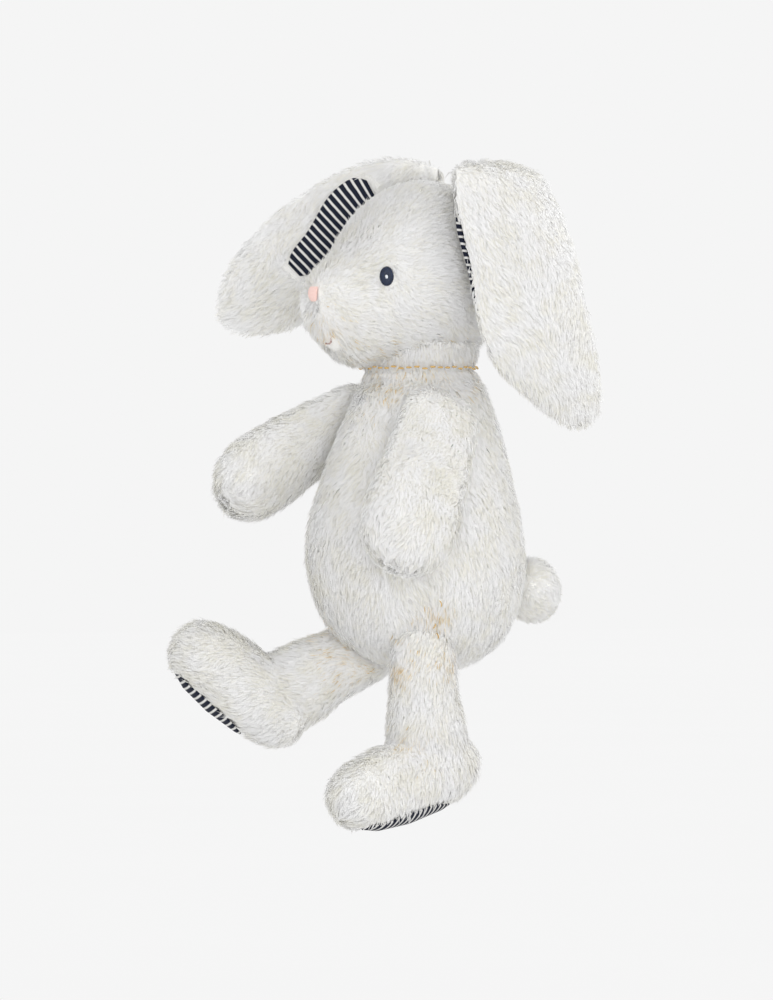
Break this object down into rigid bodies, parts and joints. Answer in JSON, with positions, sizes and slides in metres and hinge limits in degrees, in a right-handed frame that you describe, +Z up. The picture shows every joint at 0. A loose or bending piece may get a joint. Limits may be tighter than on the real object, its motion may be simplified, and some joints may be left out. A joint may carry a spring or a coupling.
{
  "type": "stuffed toy rabbit",
  "caption": "Floppy plush rabbit with drooping striped-lined ears, sewn face, swinging limbs, striped soles and a short tail.",
  "frame": {"origin": "on the surface that the lower foot just touches, at the middle of the whole toy seen from above", "axes": "+Z up, the rabbit faces -Y, its left side is +X"},
  "size_m": [0.1872, 0.1858, 0.3373],
  "materials": {
    "plush": "long soft cream-white pile",
    "fill": "loose polyester fibre fill",
    "striped_cotton": "woven cotton, narrow navy and white stripes",
    "navy_thread": "satin stitch",
    "white_thread": "satin stitch",
    "pink_thread": "satin stitch",
    "rose_thread": "back stitch",
    "sewing_thread": "cotton thread"
  },
  "bodies": {
    "trunk": {"trunk_plush": "plush", "trunk_stuffing": "fill", "neck_thread": "sewing_thread"},
    "neck": {"neck_stuffing": "fill"},
    "head": {"head_plush": "plush", "head_stuffing": "fill", "eye_left": "navy_thread", "eye_left_glint": "white_thread", "eye_right": "navy_thread", "eye_right_glint": "white_thread", "nose": "pink_thread", "mouth": "rose_thread"},
    "ear_left": {"ear_left_plush": "plush", "ear_left_lining": "striped_cotton"},
    "ear_right": {"ear_right_plush": "plush", "ear_right_lining": "striped_cotton"},
    "arm_left": {"arm_left_plush": "plush", "arm_left_stuffing": "fill"},
    "arm_right": {"arm_right_plush": "plush", "arm_right_stuffing": "fill"},
    "leg_left": {"leg_left_plush": "plush", "leg_left_sole": "striped_cotton", "leg_left_stuffing": "fill"},
    "leg_right": {"leg_right_plush": "plush", "leg_right_sole": "striped_cotton", "leg_right_stuffing": "fill"},
    "tail": {"tail_plush": "plush", "tail_stuffing": "fill"}
  },
  "joints": [
    {"name": "neck_turn", "type": "hinge", "parent": "trunk", "child": "neck", "pos_m": [0.0074, 0.0149, 0.2291], "axis": [0, 0, 1], "range_deg": [-20, 20]},
    {"name": "head_nod", "type": "hinge", "parent": "neck", "child": "head", "pos_m": [0.0074, 0.0149, 0.2291], "axis": [1, 0, 0], "range_deg": [-12, 6]},
    {"name": "ear_left_lift", "type": "hinge", "parent": "head", "child": "ear_left", "pos_m": [0.0346, 0.0259, 0.3188], "axis": [0.2589, -0.9659, 0], "range_deg": [0, 55]},
    {"name": "ear_right_lift", "type": "hinge", "parent": "head", "child": "ear_right", "pos_m": [-0.0086, 0.03562, 0.3268], "axis": [-0.766, 0.6428, 0], "range_deg": [0, 45]},
    {"name": "arm_left_swing", "type": "hinge", "parent": "trunk", "child": "arm_left", "pos_m": [0.0406, 0.0069, 0.2068], "axis": [-0.9171, 0.205, -0.342], "range_deg": [-51, 51]},
    {"name": "arm_right_swing", "type": "hinge", "parent": "trunk", "child": "arm_right", "pos_m": [-0.0258, 0.0069, 0.2068], "axis": [-0.9171, -0.205, 0.342], "range_deg": [-81, 21]},
    {"name": "leg_left_swing", "type": "hinge", "parent": "trunk", "child": "leg_left", "pos_m": [0.0344, 0.0019, 0.0898], "axis": [-0.9848, -0.1736, 0], "range_deg": [-15, 75]},
    {"name": "leg_right_swing", "type": "hinge", "parent": "trunk", "child": "leg_right", "pos_m": [-0.0196, 0.0019, 0.0898], "axis": [-0.9397, 0.342, 0], "range_deg": [-75, 15]},
    {"name": "tail_wag", "type": "hinge", "parent": "trunk", "child": "tail", "pos_m": [0.0074, 0.0729, 0.1188], "axis": [0, 0, 1], "range_deg": [-20, 20]}
  ]
}
